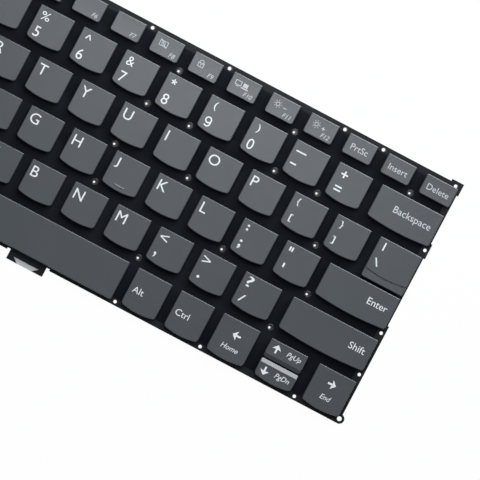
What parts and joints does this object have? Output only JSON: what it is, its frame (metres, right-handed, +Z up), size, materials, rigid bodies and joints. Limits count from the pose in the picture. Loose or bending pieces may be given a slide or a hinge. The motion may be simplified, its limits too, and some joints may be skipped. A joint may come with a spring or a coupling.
{
  "type": "laptop replacement keyboard",
  "caption": "Bare low-profile laptop keyboard: sprung grey keys with bowed front edges on a thin black metal plate with screw holes, corner tabs and ears.",
  "frame": {"origin": "under the middle of the outline, on the plate's underside", "axes": "+X to the keyboard's right end, +Y to the function row, +Z up out of the keys"},
  "size_m": [0.2802, 0.1102, 0.0044],
  "materials": {
    "plate": "satin black",
    "membrane": "matte black film",
    "film": "light grey film",
    "dome": "grey silicone",
    "lever": "moulded black",
    "wire": "drawn wire",
    "cap": "fine matte grey"
  },
  "bodies": {
    "board": {"base_plate": "plate", "inner_levers": "lever", "left_hand_keys": "cap", "membrane": "membrane", "outer_levers": "lever", "rubber_domes": "dome", "stabiliser_bars": "wire", "tail_film": "film"},
    "key_0": {"key_0": "cap"},
    "key_7": {"key_7": "cap"},
    "key_8": {"key_8": "cap"},
    "key_9": {"key_9": "cap"},
    "key_alt_right": {"key_alt_right": "cap"},
    "key_backslash": {"key_backslash": "cap"},
    "key_backspace": {"key_backspace": "cap"},
    "key_bracket_close": {"key_bracket_close": "cap"},
    "key_bracket_open": {"key_bracket_open": "cap"},
    "key_comma": {"key_comma": "cap"},
    "key_ctrl_right": {"key_ctrl_right": "cap"},
    "key_delete": {"key_delete": "cap"},
    "key_down": {"key_down": "cap"},
    "key_enter": {"key_enter": "cap"},
    "key_equals": {"key_equals": "cap"},
    "key_f10": {"key_f10": "cap"},
    "key_f11": {"key_f11": "cap"},
    "key_f12": {"key_f12": "cap"},
    "key_f8": {"key_f8": "cap"},
    "key_f9": {"key_f9": "cap"},
    "key_h": {"key_h": "cap"},
    "key_i": {"key_i": "cap"},
    "key_insert": {"key_insert": "cap"},
    "key_j": {"key_j": "cap"},
    "key_k": {"key_k": "cap"},
    "key_l": {"key_l": "cap"},
    "key_left": {"key_left": "cap"},
    "key_m": {"key_m": "cap"},
    "key_minus": {"key_minus": "cap"},
    "key_n": {"key_n": "cap"},
    "key_o": {"key_o": "cap"},
    "key_p": {"key_p": "cap"},
    "key_period": {"key_period": "cap"},
    "key_print_screen": {"key_print_screen": "cap"},
    "key_quote": {"key_quote": "cap"},
    "key_right": {"key_right": "cap"},
    "key_semicolon": {"key_semicolon": "cap"},
    "key_shift_right": {"key_shift_right": "cap"},
    "key_slash": {"key_slash": "cap"},
    "key_space": {"key_space": "cap"},
    "key_u": {"key_u": "cap"},
    "key_up": {"key_up": "cap"},
    "key_y": {"key_y": "cap"}
  },
  "joints": [
    {"name": "press_0", "type": "slide", "parent": "board", "child": "key_0", "axis": [0, 0, -1], "range_m": [0, 0.0013], "stiffness_N_per_m": 400, "deforming": ["rubber_domes", "outer_levers", "inner_levers"]},
    {"name": "press_7", "type": "slide", "parent": "board", "child": "key_7", "axis": [0, 0, -1], "range_m": [0, 0.0013], "stiffness_N_per_m": 400, "deforming": ["rubber_domes", "outer_levers", "inner_levers"]},
    {"name": "press_8", "type": "slide", "parent": "board", "child": "key_8", "axis": [0, 0, -1], "range_m": [0, 0.0013], "stiffness_N_per_m": 400, "deforming": ["rubber_domes", "outer_levers", "inner_levers"]},
    {"name": "press_9", "type": "slide", "parent": "board", "child": "key_9", "axis": [0, 0, -1], "range_m": [0, 0.0013], "stiffness_N_per_m": 400, "deforming": ["rubber_domes", "outer_levers", "inner_levers"]},
    {"name": "press_alt_right", "type": "slide", "parent": "board", "child": "key_alt_right", "axis": [0, 0, -1], "range_m": [0, 0.0013], "stiffness_N_per_m": 400, "deforming": ["rubber_domes", "outer_levers", "inner_levers"]},
    {"name": "press_backslash", "type": "slide", "parent": "board", "child": "key_backslash", "axis": [0, 0, -1], "range_m": [0, 0.0013], "stiffness_N_per_m": 400, "deforming": ["rubber_domes", "outer_levers", "inner_levers"]},
    {"name": "press_backspace", "type": "slide", "parent": "board", "child": "key_backspace", "axis": [0, 0, -1], "range_m": [0, 0.0013], "stiffness_N_per_m": 400, "deforming": ["rubber_domes", "outer_levers", "inner_levers", "stabiliser_bars"]},
    {"name": "press_bracket_close", "type": "slide", "parent": "board", "child": "key_bracket_close", "axis": [0, 0, -1], "range_m": [0, 0.0013], "stiffness_N_per_m": 400, "deforming": ["rubber_domes", "outer_levers", "inner_levers"]},
    {"name": "press_bracket_open", "type": "slide", "parent": "board", "child": "key_bracket_open", "axis": [0, 0, -1], "range_m": [0, 0.0013], "stiffness_N_per_m": 400, "deforming": ["rubber_domes", "outer_levers", "inner_levers"]},
    {"name": "press_comma", "type": "slide", "parent": "board", "child": "key_comma", "axis": [0, 0, -1], "range_m": [0, 0.0013], "stiffness_N_per_m": 400, "deforming": ["rubber_domes", "outer_levers", "inner_levers"]},
    {"name": "press_ctrl_right", "type": "slide", "parent": "board", "child": "key_ctrl_right", "axis": [0, 0, -1], "range_m": [0, 0.0013], "stiffness_N_per_m": 400, "deforming": ["rubber_domes", "outer_levers", "inner_levers"]},
    {"name": "press_delete", "type": "slide", "parent": "board", "child": "key_delete", "axis": [0, 0, -1], "range_m": [0, 0.0013], "stiffness_N_per_m": 400, "deforming": ["rubber_domes", "outer_levers", "inner_levers"]},
    {"name": "press_down", "type": "slide", "parent": "board", "child": "key_down", "axis": [0, 0, -1], "range_m": [0, 0.0013], "stiffness_N_per_m": 400, "deforming": ["rubber_domes", "outer_levers", "inner_levers"]},
    {"name": "press_enter", "type": "slide", "parent": "board", "child": "key_enter", "axis": [0, 0, -1], "range_m": [0, 0.0013], "stiffness_N_per_m": 400, "deforming": ["rubber_domes", "outer_levers", "inner_levers", "stabiliser_bars"]},
    {"name": "press_equals", "type": "slide", "parent": "board", "child": "key_equals", "axis": [0, 0, -1], "range_m": [0, 0.0013], "stiffness_N_per_m": 400, "deforming": ["rubber_domes", "outer_levers", "inner_levers"]},
    {"name": "press_f10", "type": "slide", "parent": "board", "child": "key_f10", "axis": [0, 0, -1], "range_m": [0, 0.0013], "stiffness_N_per_m": 400, "deforming": ["rubber_domes", "outer_levers", "inner_levers"]},
    {"name": "press_f11", "type": "slide", "parent": "board", "child": "key_f11", "axis": [0, 0, -1], "range_m": [0, 0.0013], "stiffness_N_per_m": 400, "deforming": ["rubber_domes", "outer_levers", "inner_levers"]},
    {"name": "press_f12", "type": "slide", "parent": "board", "child": "key_f12", "axis": [0, 0, -1], "range_m": [0, 0.0013], "stiffness_N_per_m": 400, "deforming": ["rubber_domes", "outer_levers", "inner_levers"]},
    {"name": "press_f8", "type": "slide", "parent": "board", "child": "key_f8", "axis": [0, 0, -1], "range_m": [0, 0.0013], "stiffness_N_per_m": 400, "deforming": ["rubber_domes", "outer_levers", "inner_levers"]},
    {"name": "press_f9", "type": "slide", "parent": "board", "child": "key_f9", "axis": [0, 0, -1], "range_m": [0, 0.0013], "stiffness_N_per_m": 400, "deforming": ["rubber_domes", "outer_levers", "inner_levers"]},
    {"name": "press_h", "type": "slide", "parent": "board", "child": "key_h", "axis": [0, 0, -1], "range_m": [0, 0.0013], "stiffness_N_per_m": 400, "deforming": ["rubber_domes", "outer_levers", "inner_levers"]},
    {"name": "press_i", "type": "slide", "parent": "board", "child": "key_i", "axis": [0, 0, -1], "range_m": [0, 0.0013], "stiffness_N_per_m": 400, "deforming": ["rubber_domes", "outer_levers", "inner_levers"]},
    {"name": "press_insert", "type": "slide", "parent": "board", "child": "key_insert", "axis": [0, 0, -1], "range_m": [0, 0.0013], "stiffness_N_per_m": 400, "deforming": ["rubber_domes", "outer_levers", "inner_levers"]},
    {"name": "press_j", "type": "slide", "parent": "board", "child": "key_j", "axis": [0, 0, -1], "range_m": [0, 0.0013], "stiffness_N_per_m": 400, "deforming": ["rubber_domes", "outer_levers", "inner_levers"]},
    {"name": "press_k", "type": "slide", "parent": "board", "child": "key_k", "axis": [0, 0, -1], "range_m": [0, 0.0013], "stiffness_N_per_m": 400, "deforming": ["rubber_domes", "outer_levers", "inner_levers"]},
    {"name": "press_l", "type": "slide", "parent": "board", "child": "key_l", "axis": [0, 0, -1], "range_m": [0, 0.0013], "stiffness_N_per_m": 400, "deforming": ["rubber_domes", "outer_levers", "inner_levers"]},
    {"name": "press_left", "type": "slide", "parent": "board", "child": "key_left", "axis": [0, 0, -1], "range_m": [0, 0.0013], "stiffness_N_per_m": 400, "deforming": ["rubber_domes", "outer_levers", "inner_levers"]},
    {"name": "press_m", "type": "slide", "parent": "board", "child": "key_m", "axis": [0, 0, -1], "range_m": [0, 0.0013], "stiffness_N_per_m": 400, "deforming": ["rubber_domes", "outer_levers", "inner_levers"]},
    {"name": "press_minus", "type": "slide", "parent": "board", "child": "key_minus", "axis": [0, 0, -1], "range_m": [0, 0.0013], "stiffness_N_per_m": 400, "deforming": ["rubber_domes", "outer_levers", "inner_levers"]},
    {"name": "press_n", "type": "slide", "parent": "board", "child": "key_n", "axis": [0, 0, -1], "range_m": [0, 0.0013], "stiffness_N_per_m": 400, "deforming": ["rubber_domes", "outer_levers", "inner_levers"]},
    {"name": "press_o", "type": "slide", "parent": "board", "child": "key_o", "axis": [0, 0, -1], "range_m": [0, 0.0013], "stiffness_N_per_m": 400, "deforming": ["rubber_domes", "outer_levers", "inner_levers"]},
    {"name": "press_p", "type": "slide", "parent": "board", "child": "key_p", "axis": [0, 0, -1], "range_m": [0, 0.0013], "stiffness_N_per_m": 400, "deforming": ["rubber_domes", "outer_levers", "inner_levers"]},
    {"name": "press_period", "type": "slide", "parent": "board", "child": "key_period", "axis": [0, 0, -1], "range_m": [0, 0.0013], "stiffness_N_per_m": 400, "deforming": ["rubber_domes", "outer_levers", "inner_levers"]},
    {"name": "press_print_screen", "type": "slide", "parent": "board", "child": "key_print_screen", "axis": [0, 0, -1], "range_m": [0, 0.0013], "stiffness_N_per_m": 400, "deforming": ["rubber_domes", "outer_levers", "inner_levers"]},
    {"name": "press_quote", "type": "slide", "parent": "board", "child": "key_quote", "axis": [0, 0, -1], "range_m": [0, 0.0013], "stiffness_N_per_m": 400, "deforming": ["rubber_domes", "outer_levers", "inner_levers"]},
    {"name": "press_right", "type": "slide", "parent": "board", "child": "key_right", "axis": [0, 0, -1], "range_m": [0, 0.0013], "stiffness_N_per_m": 400, "deforming": ["rubber_domes", "outer_levers", "inner_levers"]},
    {"name": "press_semicolon", "type": "slide", "parent": "board", "child": "key_semicolon", "axis": [0, 0, -1], "range_m": [0, 0.0013], "stiffness_N_per_m": 400, "deforming": ["rubber_domes", "outer_levers", "inner_levers"]},
    {"name": "press_shift_right", "type": "slide", "parent": "board", "child": "key_shift_right", "axis": [0, 0, -1], "range_m": [0, 0.0013], "stiffness_N_per_m": 400, "deforming": ["rubber_domes", "outer_levers", "inner_levers", "stabiliser_bars"]},
    {"name": "press_slash", "type": "slide", "parent": "board", "child": "key_slash", "axis": [0, 0, -1], "range_m": [0, 0.0013], "stiffness_N_per_m": 400, "deforming": ["rubber_domes", "outer_levers", "inner_levers"]},
    {"name": "press_space", "type": "slide", "parent": "board", "child": "key_space", "axis": [0, 0, -1], "range_m": [0, 0.0013], "stiffness_N_per_m": 400, "deforming": ["rubber_domes", "outer_levers", "inner_levers", "stabiliser_bars"]},
    {"name": "press_u", "type": "slide", "parent": "board", "child": "key_u", "axis": [0, 0, -1], "range_m": [0, 0.0013], "stiffness_N_per_m": 400, "deforming": ["rubber_domes", "outer_levers", "inner_levers"]},
    {"name": "press_up", "type": "slide", "parent": "board", "child": "key_up", "axis": [0, 0, -1], "range_m": [0, 0.0013], "stiffness_N_per_m": 400, "deforming": ["rubber_domes", "outer_levers", "inner_levers"]},
    {"name": "press_y", "type": "slide", "parent": "board", "child": "key_y", "axis": [0, 0, -1], "range_m": [0, 0.0013], "stiffness_N_per_m": 400, "deforming": ["rubber_domes", "outer_levers", "inner_levers"]}
  ]
}
